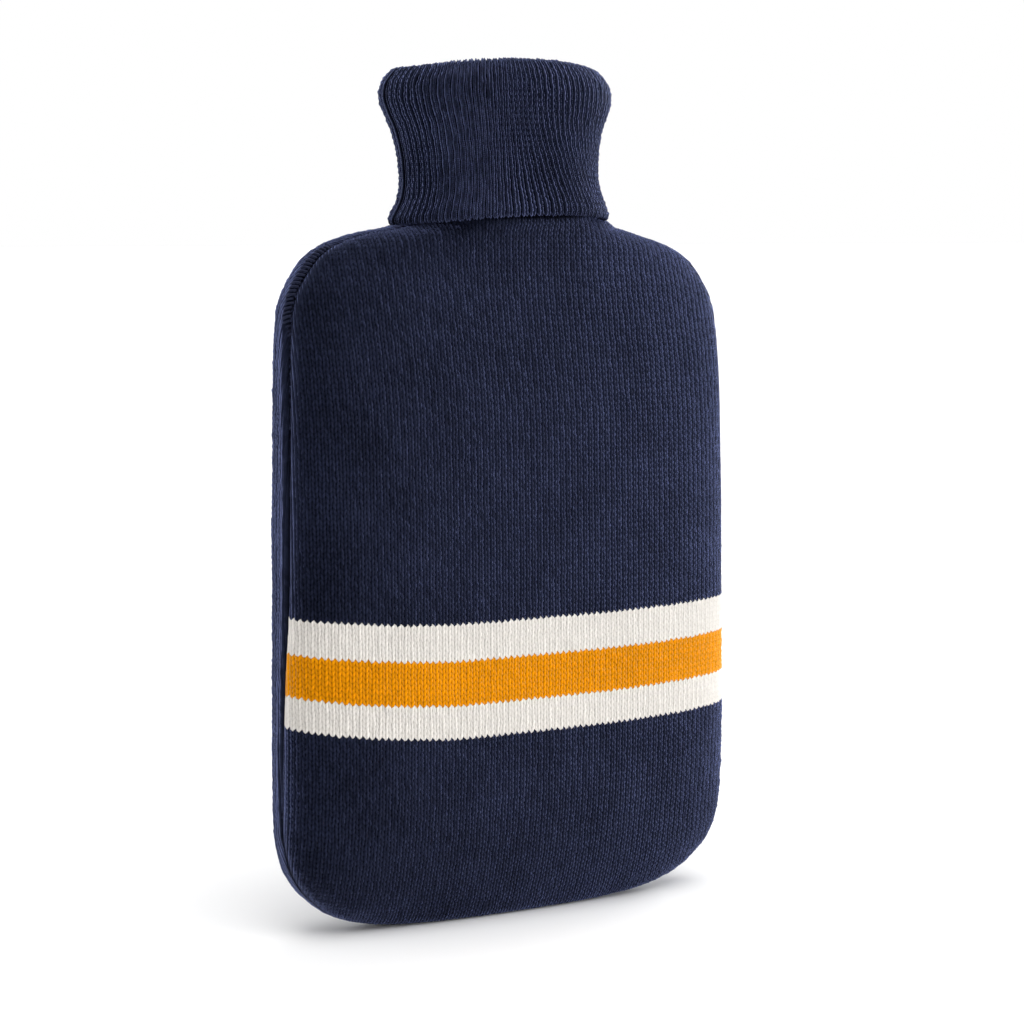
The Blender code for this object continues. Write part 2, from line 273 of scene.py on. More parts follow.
def panel_mesh(name, side, grid, smooth_width):
    """Mesh of a panel: the knitted outside, its turned-in edge and a plain inside.

    The stitches are pulled flat along the seam and show fully smooth_width away from it.
    """
    wale, course, level, across = grid
    seam = np.interp(level, levels, seam_reach[side])
    wale = np.broadcast_to(wale, level.shape).copy()
    course = np.broadcast_to(course[:, None], level.shape)
    inside = np.abs(across) < seam
    middle = level.shape[1] // 2
    for row in range(len(level)):
        for outward in (-1, 1):
            j = middle
            while 0 < j < level.shape[1] - 1 and inside[row, j + outward]:
                j += outward
            beyond = slice(0, j) if outward < 0 else slice(j + 1, None)
            gap = abs(across[row, j + outward]) - abs(across[row, j])
            share = np.clip((seam[row, j] - abs(across[row, j])) / max(gap, 1e-6), 0.0, 1.0)
            wale[row, beyond] = wale[row, j] + outward * share / STITCH_COLUMNS
            level[row, beyond] = level[row, j]
            across[row, beyond] = outward * seam[row, j]
    points = np.stack((level, across), axis=-1).reshape(-1, 2)
    unique, first, which = np.unique(np.round(points, 7), axis=0, return_index=True,
                                     return_inverse=True)
    which = which.reshape(level.shape)
    level, across = unique[:, 0], unique[:, 1]
    quads = np.stack((which[:-1, :-1], which[:-1, 1:], which[1:, 1:], which[1:, :-1]),
                     axis=-1).reshape(-1, 4)
    faces = []
    for quad in quads.tolist():
        corners = [v for k, v in enumerate(quad) if v != quad[k - 1]]
        if len(set(corners)) == len(corners) and len(corners) > 2:
            faces.append(corners)
    used = np.unique(np.concatenate(faces))
    renumber = np.full(len(unique), -1)
    renumber[used] = np.arange(len(used))
    faces = [renumber[face].tolist() for face in faces]
    level, across = level[used], across[used]
    marks = {"wale": wale.reshape(-1)[first][used], "course": course.reshape(-1)[first][used]}
    marks["edge"] = np.minimum(np.interp(level, levels, seam_reach[side]) - np.abs(across),
                               level + FOOT_DEPTH)

    # The rim of the panel, in order, from the edges that only one face uses.
    edges = [(face[k - 1], v) for face in faces for k, v in enumerate(face)]
    paired = set(edges)
    border = {a: b for a, b in edges if (b, a) not in paired}
    loop = [next(iter(border))]
    while border[loop[-1]] != loop[0]:
        loop.append(border[loop[-1]])
    outside = body_point(side, level, across)

    # The inside: the rim is stepped in by the knit's thickness, and a plain sheet spans it.
    spots = [Vector((across[v], level[v])) for v in loop]
    for row_level in np.arange(-FOOT_DEPTH + INNER_SPACING / 2.0, SHIFT_END, INNER_SPACING):
        width = np.interp(row_level, levels, seam_reach[side])
        count = int(width / INNER_SPACING)
        spots += [Vector((k * INNER_SPACING, row_level)) for k in range(-count, count + 1)
                  if width - abs(k) * INNER_SPACING > INNER_SPACING / 2.0]
    spanned, _, inner_faces, sources, *_ = delaunay_2d_cdt(spots, [], [list(range(len(loop)))], 1, 1e-6)
    inner_across, inner_level = np.array([tuple(spot) for spot in spanned]).T
    width = np.interp(inner_level, levels, seam_reach[side])
    ahead = body_point(side, inner_level + FEELER, inner_across)
    behind = body_point(side, inner_level - FEELER, inner_across)
    right = body_point(side, inner_level, np.minimum(inner_across + FEELER, width))
    left = body_point(side, inner_level, np.maximum(inner_across - FEELER, -width))
    normal = np.cross(right - left, ahead - behind)
    normal /= np.maximum(np.linalg.norm(normal, axis=1), 1e-9)[:, None]
    inside = body_point(side, inner_level, inner_across) - KNIT_THICKNESS * normal
    inside[:, 2] = np.maximum(inside[:, 2], INNER_FLOOR)
    start = len(outside)
    twin = {given: start + k for k, source in enumerate(sources) for given in source}
    for k, v in enumerate(loop):
        faces.append([loop[k - 1], twin[(k - 1) % len(loop)], twin[k], v])
    faces += [[start + v for v in reversed(face)] for face in inner_faces]
    inner = {"wale": inner_across / WALE_PITCH, "course": (inner_level - STRIPE_BOTTOM) / COURSE_PITCH,
             "edge": np.full(len(inside), FAR_FROM_SEAM)}
    marks = {mark: np.concatenate((marks[mark], inner[mark])) for mark in inner}
    marks["shows"] = smooth_ramp(marks["edge"], SEAM_ALLOWANCE, smooth_width)
    # This mark places painted shade beside the seams, where the knit turns in, and a painted shadow of
    # the collar's hem on the neck.
    marks["painted_shade_mark"] = 1.0 - smooth_ramp(marks["edge"], 0.0, CREASE_WIDTH)
    marks["painted_shade_mark"][:len(level)] += smooth_ramp(level, *HEM_SHADE)
    marks["knit"] = np.concatenate((np.ones(len(outside)), np.zeros(len(inside))))
    mesh = bpy.data.meshes.new(name)
    mesh.from_pydata(np.concatenate((outside, inside)).tolist(), [], faces)
    for mark, values in marks.items():
        mesh.attributes.new(mark, "FLOAT", "POINT").data.foreach_set("value", values)
    whole = bmesh.new()
    whole.from_mesh(mesh)
    bmesh.ops.holes_fill(whole, edges=[edge for edge in whole.edges if edge.is_boundary])
    whole.to_mesh(mesh)
    whole.free()
    mesh.shade_smooth()
    return mesh


def add_node(tree, kind, links=None, **settings):
    """Add a node, set its properties, and link or set its inputs by name or number.

    A kind in capitals is an operation of the Math node. A node given for an input is linked by its
    first output.
    """
    node = tree.nodes.new("ShaderNodeMath" if kind.isupper() else kind)
    if kind.isupper():
        node.operation = kind
    for name, value in settings.items():
        setattr(node, name, value)
    for key, value in (links or {}).items():
        if isinstance(value, bpy.types.Node):
            value = value.outputs[0]
        if isinstance(value, bpy.types.NodeSocket):
            tree.links.new(value, node.inputs[key])
        else:
            node.inputs[key].default_value = value
    return node


def linear(code):
    """Linear colour of an sRGB hex code."""
    parts = [int(code[k:k + 2], 16) / 255.0 for k in (1, 3, 5)]
    return tuple(v / 12.92 if v <= 0.04045 else ((v + 0.055) / 1.055) ** 2.4 for v in parts)


def new_material(name, inputs):
    """Material of one Principled shader with these inputs."""
    material = bpy.data.materials.new(name)
    material.use_nodes = True
    for socket, value in inputs.items():
        material.node_tree.nodes["Principled BSDF"].inputs[socket].default_value = value
    return material


def stitch_shape(add, wale, course):
    """Place across and along each stitch, height of its legs, and a chance number for each leg."""
    half = add("PINGPONG", {0: wale, 1: 0.5})
    turned = add("MULTIPLY", {0: half, 1: 2.0 * np.pi})
    leg = add("SINE", {0: turned})
    along = add("PINGPONG", {0: course, 1: 0.5})
    double = add("MULTIPLY", {0: wale, 1: 2.0})
    leg_number = add("FLOOR", {0: double})
    row_number = add("FLOOR", {0: course})
    cell = add("ShaderNodeCombineXYZ", {0: leg_number, 1: row_number})
    chance = add("ShaderNodeTexWhiteNoise", {0: cell}, noise_dimensions="3D")
    return half, along, leg, chance


# Sizes of the yarn's patterns. The tufts are coarser than real fibres, so that they show.
FIBRE_TUFT = 0.001 / 2.6  # 2.6 of them a millimetre
SHADE_PATCH = 0.1 / 3.8   # patches of lighter and darker knit, 26 mm across
STREAKS_A_COLUMN = 2.2    # places across a stitch where a slit opens or closes
STREAKS_A_ROW = 0.42      # and along it
PLY_ACROSS = 7.0          # turns of the two plies across a stitch
PLY_ALONG = 3.0           # and along it
YARN_BUMP = 0.0008        # height of the legs, plies and fibres in the shading
PLY_SHARE = 0.10          # share of the plies in it
FIBRE_SHARE = 0.45        # and of the fibres
TONE_SHARE = 0.45         # share of a leg's own tone in the heather
JOINT_REACH = 0.30        # where two rows meet, painted shade darkens this share of a row to both sides
JOINT_DARKNESS = 0.45     # strength of that painted shade, compared with a slit's
GROOVE_REACH = 0.20       # share of a rib's width that the painted shade on each side of its groove takes up


def knitted_yarn(name, colour, shade, tint, sheen, gloss, slit=1.0, heather=0.30, dots=0.45, rib=0.0,
                 seam=0.0):
    """Two-ply wool-like yarn knitted in V-shaped stitches.

    Matt and slightly hairy: the fibres scatter a broad weak highlight and a pale bloom where the
    surface turns away. Painted shade darkens the slits between the legs of the stitches, whose tone
    varies a little, and dims the highlight and bloom in them. Rib paints shade into the grooves,
    and seam sets the painted shade where the knit turns in beside a seam and under the collar's hem.
    It reads two marks of the mesh: how much of the stitches shows, and where that painted shade goes.
    """
    bloom = (*linear(tint), 1.0)
    material = new_material(name, {"Roughness": 0.60, "Specular Tint": bloom, "Sheen Roughness": 0.29,
                                   "Sheen Tint": bloom})
    material.diffuse_color = (*linear(colour), 1.0)
    tree = material.node_tree
    shader = tree.nodes["Principled BSDF"]
    add = partial(add_node, tree)
    stitch = add("ShaderNodeUVMap", uv_map="stitch")
    parts = add("ShaderNodeSeparateXYZ", {0: stitch})
    wale, course, _ = parts.outputs
    half, along, leg, tone = stitch_shape(add, wale, course)
    joint = add("ShaderNodeMapRange", {0: along, 2: JOINT_REACH, 3: 1.0, 4: 0.0},
                interpolation_type="SMOOTHSTEP")
    valley = add("ShaderNodeMapRange", {0: leg, 3: 1.0, 4: 0.0},
                 interpolation_type="SMOOTHSTEP")
    dark_slit = add("MULTIPLY_ADD", {0: joint, 1: dots, 2: 1.0 - dots})
    slit_part = add("MULTIPLY", {0: valley, 1: dark_slit})
    joint_part = add("MULTIPLY", {0: joint, 1: JOINT_DARKNESS})
    slit_shade = add("MAXIMUM", {0: slit_part, 1: joint_part})

    # The painted shade in the slits deepens and fades along each column, so no two stitches look alike.
    streak_across = add("MULTIPLY", {0: wale, 1: STREAKS_A_COLUMN})
    streak_along = add("MULTIPLY", {0: course, 1: STREAKS_A_ROW})
    streak_place = add("ShaderNodeCombineXYZ", {0: streak_across, 1: streak_along})
    streak = add("ShaderNodeTexNoise", {"Vector": streak_place, "Scale": 1.0, "Detail": 1.0})
    opening = add("ShaderNodeMapRange", {0: streak, 1: 0.30, 2: 0.62, 3: slit * 0.55, 4: slit})
    opened = add("MULTIPLY", {0: slit_shade, 1: opening})
    shows = add("ShaderNodeAttribute", attribute_name="shows")
    slits = add("MULTIPLY", {0: opened, 1: shows.outputs["Fac"]})
    # Painted shade in the rib's grooves, and in the folds beside the seams and under the collar's hem.
    groove = add("ShaderNodeMapRange", {0: half, 2: GROOVE_REACH, 3: rib, 4: 0.0},
                 interpolation_type="SMOOTHSTEP")
    painted_shade_mark = add("ShaderNodeAttribute", attribute_name="painted_shade_mark")
    fold_shade = add("MULTIPLY", {0: painted_shade_mark.outputs["Fac"], 1: seam}, use_clamp=True)
    groove_and_fold_shade = add("MAXIMUM", {0: groove, 1: fold_shade})
    depth = add("MAXIMUM", {0: slits, 1: groove_and_fold_shade})

    # Tone of each leg, and the heather of the fibres.
    place = add("ShaderNodeTexCoord")
    fibre = add("ShaderNodeTexNoise",
                {"Vector": place.outputs["Object"], "Scale": 1.0 / FIBRE_TUFT, "Detail": 3.0})
    cloud = add("ShaderNodeTexNoise",
                {"Vector": place.outputs["Object"], "Scale": 1.0 / SHADE_PATCH, "Detail": 2.0})
    mixed = add("MULTIPLY_ADD", {0: tone, 1: TONE_SHARE, 2: fibre})
    all_tones = add("ADD", {0: mixed, 1: cloud})
    bright = add("ShaderNodeMapRange",
                 {0: all_tones, 1: 0.85, 2: 1.60, 3: 1.0 - heather, 4: 1.0 + heather})
    # The base colour is mixed towards the shade colour by all this painted shade.
    dark = add("ShaderNodeMix", {0: depth, 6: (*linear(colour), 1.0), 7: (*linear(shade), 1.0)},
               data_type="RGBA")
    toned = add("ShaderNodeVectorMath", {0: dark.outputs[2], 3: bright}, operation="SCALE")
    tree.links.new(toned.outputs[0], shader.inputs["Base Color"])
    # The sheen and highlight are dimmed where painted shade lies.
    raised = add("SUBTRACT", {0: 1.0, 1: depth})
    lifted = add("MULTIPLY", {0: raised, 1: bright})
    for socket, strength in (("Sheen Weight", sheen), ("Specular IOR Level", gloss)):
        share = add("MULTIPLY", {0: lifted, 1: strength})
        tree.links.new(share.outputs[0], shader.inputs[socket])

    # Ply twist and stray fibres on the surface.
    twist_across = add("MULTIPLY", {0: wale, 1: PLY_ACROSS})
    twist_along = add("MULTIPLY_ADD", {0: course, 1: PLY_ALONG, 2: twist_across})
    twist_turn = add("MULTIPLY", {0: twist_along, 1: 2.0 * np.pi})
    twist = add("SINE", {0: twist_turn})
    round_leg = add("POWER", {0: leg, 1: 0.5})
    plied = add("MULTIPLY_ADD", {0: twist, 1: PLY_SHARE, 2: round_leg})
    hairy = add("MULTIPLY_ADD", {0: fibre, 1: FIBRE_SHARE, 2: plied})
    bump = add("ShaderNodeBump", {"Strength": 0.8, "Distance": YARN_BUMP, "Height": hairy})
    tree.links.new(bump.outputs[0], shader.inputs["Normal"])
    return material


NAVY = "#121625"
# Near-black painted shade of the navy's slits, rib grooves and folds beside the seams.
NAVY_SHADE = "#010206"
NAVY_BLOOM = "#abbaff"    # tint of the navy yarn's highlight and bloom
# The heathered navy takes a cold sheen. The second colour of each yarn is the painted shade of its slits;
# the pale yarns show it softer, and hardly bloom.
navy_knit = knitted_yarn("navy stocking stitch, wool-like yarn", NAVY, NAVY_SHADE, NAVY_BLOOM,
                         sheen=1.12, gloss=0.30, heather=0.36, seam=0.92)
cream_knit = knitted_yarn("cream stocking stitch, wool-like yarn", "#fcf7f0", "#b0a89e", "#eef2ff",
                          sheen=0.25, gloss=0.05, slit=0.34, heather=0.05, dots=0.92)
amber_knit = knitted_yarn("amber stocking stitch, wool-like yarn", "#fda202", "#a85002", "#fff0d0",
                          sheen=0.55, gloss=0.05, slit=0.85, heather=0.14, dots=0.80)


MIDDLE_SLIT = 0.60        # in the middle of a row the slits are this deep, compared with its ends
JOINT_HEIGHT = 0.72       # at its ends the legs are this high, compared with its middle
UNEVEN_LEGS = (0.66, 1.14)      # the legs vary in height between these
SUNK_SHARE = 0.55         # this share of a stitch's height lies below the measured form
LUMP_SIZE = 0.1 / 2.4     # soft dents in the cloth, 42 mm across
WANDER_SIZE = 0.1 / 26.0  # bends of a wandering yarn, 3.8 mm long
HELD_EDGE = (0.001, 0.004)      # the seam holds the yarn, which comes free this far from it
ROLL_START = (0.022, 0.070)     # heights over which the edge's roll sets in
ROLL_AT_FOOT = 0.10       # share of it at the foot
PRESSED_HEIGHT = 0.004    # the table presses the stitches flat below this height


def new_tree(name, sizes, yarns):
    """Geometry Nodes tree with these named inputs."""
    tree = bpy.data.node_groups.new(name, "GeometryNodeTree")
    for labels, kind in ((("Geometry",), "Geometry"), (sizes, "Float"), (yarns, "Material")):
        for label in labels:
            tree.interface.new_socket(label, in_out="INPUT", socket_type="NodeSocket" + kind)
    tree.interface.new_socket("Geometry", in_out="OUTPUT", socket_type="NodeSocketGeometry")
    return tree


def stitch_tree():
    """Geometry Nodes tree that raises the knit's stitches and gives each row its yarn.

    It reads five marks of the mesh: the number of the stitch column and row, the distance to the
    nearest sewn seam, how much of the stitches shows, and which side of the cloth it is.
    """
    tree = new_tree("raise stocking stitches",
                    ("Stitch relief", "Rib groove", "Seam roll", "Roll width", "Foot press", "Unevenness",
                     "Yarn wander", "Stripe start", "Inner start", "Inner end", "Stripe end"),
                    ("Main yarn", "Outer stripe yarn", "Inner stripe yarn"))
    add = partial(add_node, tree)
    given = add("NodeGroupInput").outputs
    wale, course, edge, shows, knit = (
        add("GeometryNodeInputNamedAttribute", {0: mark}, data_type="FLOAT")
        for mark in ("wale", "course", "edge", "shows", "knit"))

    # The two legs of each V are round, plumpest in the middle of a row and a little uneven.
    _, along, leg, chance = stitch_shape(add, wale, course)
    slit = add("SUBTRACT", {0: 1.0, 1: leg})
    opened = add("ShaderNodeMapRange", {0: along, 2: 0.5, 3: 1.0, 4: MIDDLE_SLIT})
    plump = add("ShaderNodeMapRange", {0: along, 2: 0.5, 3: JOINT_HEIGHT})
    vary = add("ShaderNodeMapRange", {0: chance, 3: UNEVEN_LEGS[0], 4: UNEVEN_LEGS[1]})
    sunk = add("MULTIPLY", {0: slit, 1: opened})
    round_leg = add("SUBTRACT", {0: plump, 1: sunk})
    uneven_leg = add("MULTIPLY", {0: round_leg, 1: vary})
    crown = add("SUBTRACT", {0: uneven_leg, 1: SUNK_SHARE})
    raised = add("MULTIPLY", {0: crown, 1: given["Stitch relief"]})

    # In rib knit a groove lies between the columns.
    round_turn = add("MULTIPLY", {0: wale, 1: 2.0 * np.pi})
    wave = add("COSINE", {0: round_turn})
    between = add("MULTIPLY_ADD", {0: wave, 1: 0.5, 2: 0.5})
    groove = add("POWER", {0: between, 1: 2.0})
    grooves = add("MULTIPLY", {0: groove, 1: given["Rib groove"]})
    ribbed = add("SUBTRACT", {0: raised, 1: grooves})

    # The cloth lies a little unevenly. All of this fades out beside a seam, where the edge rolls in.
    place = add("GeometryNodeInputPosition")
    height = add("ShaderNodeSeparateXYZ", {0: place}).outputs[2]
    lumps = add("ShaderNodeTexNoise", {"Vector": place, "Scale": 1.0 / LUMP_SIZE, "Detail": 1.0})
    lump = add("SUBTRACT", {0: lumps, 1: 0.5})
    lying = add("MULTIPLY_ADD", {0: lump, 1: given["Unevenness"], 2: ribbed})
    relief = add("MULTIPLY", {0: lying, 1: shows})
    beside = add("ShaderNodeMapRange", {0: edge, 2: given["Roll width"], 3: 1.0, 4: 0.0},
                 interpolation_type="SMOOTHERSTEP")
    above_foot = add("ShaderNodeMapRange",
                     {0: height, 1: ROLL_START[0], 2: ROLL_START[1], 3: ROLL_AT_FOOT},
                     interpolation_type="SMOOTHSTEP")
    roll_depth = add("MULTIPLY", {0: given["Seam roll"], 1: above_foot})
    roll = add("MULTIPLY", {0: beside, 1: roll_depth})
    rolled = add("SUBTRACT", {0: relief, 1: roll})
    pressed = add("ShaderNodeMapRange",
                  {0: height, 2: PRESSED_HEIGHT, 3: given["Foot press"]})
    outside = add("MULTIPLY", {0: pressed, 1: knit})
    total = add("MULTIPLY", {0: rolled, 1: outside})
    normal = add("GeometryNodeInputNormal")
    offset = add("ShaderNodeVectorMath", {0: normal, 3: total}, operation="SCALE")

    # The yarn wanders a little from its path.
    drift = add("ShaderNodeTexNoise",
                {"Vector": place, "Scale": 1.0 / WANDER_SIZE, "Detail": 1.0}).outputs[1]
    wander = add("ShaderNodeVectorMath", {0: drift, 1: (-0.5, -0.5, -0.5)}, operation="ADD")
    free = add("ShaderNodeMapRange", {0: edge, 1: HELD_EDGE[0], 2: HELD_EDGE[1]},
               interpolation_type="SMOOTHSTEP")
    free_yarn = add("MULTIPLY", {0: pressed, 1: free})
    loose = add("MULTIPLY", {0: knit, 1: free_yarn})
    far = add("MULTIPLY", {0: given["Yarn wander"], 1: loose})
    strayed = add("ShaderNodeVectorMath", {0: wander, 3: far}, operation="SCALE")
    moved_by = add("ShaderNodeVectorMath", {0: offset, 1: strayed}, operation="ADD")
    moved = add("GeometryNodeSetPosition", {"Geometry": given["Geometry"], "Offset": moved_by})
    knitted = add("GeometryNodeRealizeInstances", {0: moved})
    knitted = add("GeometryNodeSetMaterial", {"Geometry": knitted, "Material": given["Main yarn"]})
    for yarn, start, end in (("Outer stripe yarn", "Stripe start", "Stripe end"),
                             ("Inner stripe yarn", "Inner start", "Inner end")):
        above = add("GREATER_THAN", {0: course, 1: given[start]})
        below = add("LESS_THAN", {0: course, 1: given[end]})
        rows = add("MULTIPLY", {0: above, 1: below})
        knitted = add("GeometryNodeSetMaterial",
                      {"Geometry": knitted, "Selection": rows, "Material": given[yarn]})
    add("NodeGroupOutput", {0: knitted})
    return tree


def new_object(name, data):
    """Object with this mesh, lamp or camera, in the scene."""
    obj = bpy.data.objects.new(name, data)
    bpy.context.scene.collection.objects.link(obj)
    return obj


def apply_tree(mesh, tree, values):
    """Object with the tree's result on the mesh as its own plain mesh."""
    obj = new_object(mesh.name, mesh)
    modifier = obj.modifiers.new("knit", "NODES")
    modifier.node_group = tree
    for item in tree.interface.items_tree:
        if item.in_out == "INPUT" and item.name in values:
            modifier[item.identifier] = values[item.name]
    result = obj.evaluated_get(bpy.context.evaluated_depsgraph_get())
    finished = bpy.data.meshes.new_from_object(result)
    obj.modifiers.remove(modifier)
    obj.data = finished
    finished.name = obj.name
    return obj


def add_stitch_map(obj):
    """Keep the stitch numbers as the piece's own UV map, and the marks the yarn reads."""
    mesh = obj.data
    corners = np.zeros(len(mesh.loops), dtype=np.int32)
    mesh.loops.foreach_get("vertex_index", corners)
    stitch = np.zeros((len(mesh.loops), 2), dtype=np.float32)
    for column, mark in enumerate(("wale", "course")):
        values = np.zeros(len(mesh.vertices), dtype=np.float32)
        mesh.attributes[mark].data.foreach_get("value", values)
        stitch[:, column] = values[corners]
    mesh.uv_layers.new(name="stitch").data.foreach_set("uv", stitch.reshape(-1))
    for mark in ("wale", "course", "edge", "knit"):
        mesh.attributes.remove(mesh.attributes[mark])


raise_stitches = stitch_tree()
PANEL_KNIT = {"Stitch relief": STITCH_RELIEF, "Rib groove": 0.0, "Seam roll": 0.0009,
              "Roll width": 0.0014, "Foot press": 0.25, "Unevenness": 0.0006, "Yarn wander": 0.0010,
              "Main yarn": navy_knit, "Outer stripe yarn": cream_knit, "Inner stripe yarn": amber_knit,
              "Inner start": AMBER_ROWS[0], "Inner end": AMBER_ROWS[1],
              "Stripe start": STRIPE_ROWS[0], "Stripe end": STRIPE_ROWS[1]}
front_mesh = panel_mesh("front_panel_knit", "front",
                        panel_grid("front", FRONT_REACH, BOW_LEFT, BOW_RIGHT), FRONT_SMOOTH)
front_panel = apply_tree(front_mesh, raise_stitches, PANEL_KNIT)
add_stitch_map(front_panel)
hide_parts("front_panel")
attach(front_panel, "root")


# ----------------------------------------
# Back panel
# The plain navy back, in the same yarn and stitch. It wraps round the bottle's sides to meet the
# front panel a little in front of the middle.
# ----------------------------------------
BACK_REACH = 0.120
BACK_SMOOTH = 0.0150      # the back's stitches show fully this far from a seam
NO_STRIPES = {"Stripe start": 500.0, "Inner start": 500.0}    # rows beyond the end of the knit
back_knit = PANEL_KNIT | NO_STRIPES | {"Seam roll": 0.0025, "Roll width": 0.0036}
back_mesh = panel_mesh("back_panel_knit", "back", panel_grid("back", BACK_REACH, 0.0, 0.0), BACK_SMOOTH)
back_panel = apply_tree(back_mesh, raise_stitches, back_knit)
add_stitch_map(back_panel)
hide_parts("back_panel")
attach(back_panel, "root")


# ----------------------------------------
# Collar
# The neck's rib-knit tube, folded down on itself to a doubled layer with a round rolled top and a
# free lower hem. It is knitted in single ribs and joined by a flat seam at each side.
# ----------------------------------------
RIB_COUNT = 92
RIB_COLUMNS = 8           # mesh columns in one rib
RIB_TWIST = 0.10          # the front ribs lean this share of a half turn to the left, hem to rim
TWIST_MIDDLE = 0.18       # the lean is strongest here, a little right of the front's middle
TWIST_WIDTH = 0.08        # and this far to both sides of it
TWIST_RISE = (0.05, 0.80)       # share of the collar's height over which the ribs lean
SIDE_SEAM = 0.495         # the side seams, as a share of the way from front middle to back middle
HEM_TILT = 0.0013         # the hem hangs this much lower at the left, and rises to the right
HEM_LEVEL = 0.40          # but no further than this share of the way out
HEM_DROP = 0.0031         # the hem hangs this much lower at its two sides
HEM_SAG = 0.0007          # and this much lower at the front and the back
HEM_FLARE = 0.0018        # the hem stands out this much more at the left
FLARE_END = (0.2790, 0.2880)    # heights over which that is lost
RIM_DROP = 0.0018         # the rolled top sinks this much at its two sides
RIM_DIP = 0.0017          # the rim itself sinks this much more there, from DIP_START up
DIP_START = 0.3270
NECKLINE = SHIFT_END + CLEARANCE
SEWN_EDGE = 0.0004        # the collar is held to the neckline over this height

# The doubled layer as one closed loop, up the outside from the hem, over the fold, down the
# inside and back between the layers: height, half width, half depth, how much the ribs show.
COLLAR_LOOP = np.array((
    (0.2788, 0.0448, 0.0285, 1.0),
    (0.2810, 0.0460, 0.0296, 1.0),
    (0.2856, 0.0447, 0.0287, 1.0),
    (0.2905, 0.0429, 0.0275, 1.0),
    (0.2960, 0.0421, 0.0270, 1.0),
    (0.3023, 0.0423, 0.0271, 1.0),
    (0.3093, 0.0434, 0.0278, 1.0),
    (0.3151, 0.0450, 0.0289, 1.0),
    (0.3210, 0.0476, 0.0305, 1.0),
    (0.3260, 0.0489, 0.0313, 1.0),
    (0.3309, 0.0482, 0.0307, 1.0),
    (0.3348, 0.0461, 0.0289, 1.0),
    (0.3378, 0.0433, 0.0263, 1.0),
    (0.3383, 0.0411, 0.0242, 1.0),
    (0.3360, 0.0391, 0.0228, 1.0),
    (0.3290, 0.0380, 0.0221, 0.5),
    (0.3110, 0.0371, 0.0214, 0.0),
    (0.2960, 0.0362, 0.0208, 0.0),
    (NECKLINE, 0.0374, 0.0216, 0.0),
    (NECKLINE, 0.0402, 0.0244, 0.0),
    (0.2960, 0.0388, 0.0234, 0.0),
    (0.3093, 0.0397, 0.0241, 0.0),
    (0.3230, 0.0424, 0.0262, 0.0),
    (0.3300, 0.0438, 0.0271, 0.0),
    (0.3230, 0.0456, 0.0283, 0.0),
    (0.3093, 0.0408, 0.0253, 0.0),
    (0.2960, 0.0395, 0.0244, 0.0),
    (0.2856, 0.0420, 0.0260, 0.0),
    (0.2788, 0.0422, 0.0261, 0.4),
    (0.2784, 0.0435, 0.0273, 0.8),
))
LAST_RIB_POINT = 15       # the ribs fade out inside the neck at this point of the loop
WAIST_POINT = 4           # the collar is narrowest at this point
HEM_ROWS = 1.5            # the V shapes set in over this many rows from the hem
LAST_ROWS = (4.0, 1.0)    # and end between these rows before the last
UNDER_HEM_ROWS = 0.9      # rows that lie in the hem's own shade
COLLAR_SMOOTH = 0.0040    # the stitches show fully this far from a side seam
PLAIN_STEP = 0.007        # spacing of the rows that don't show


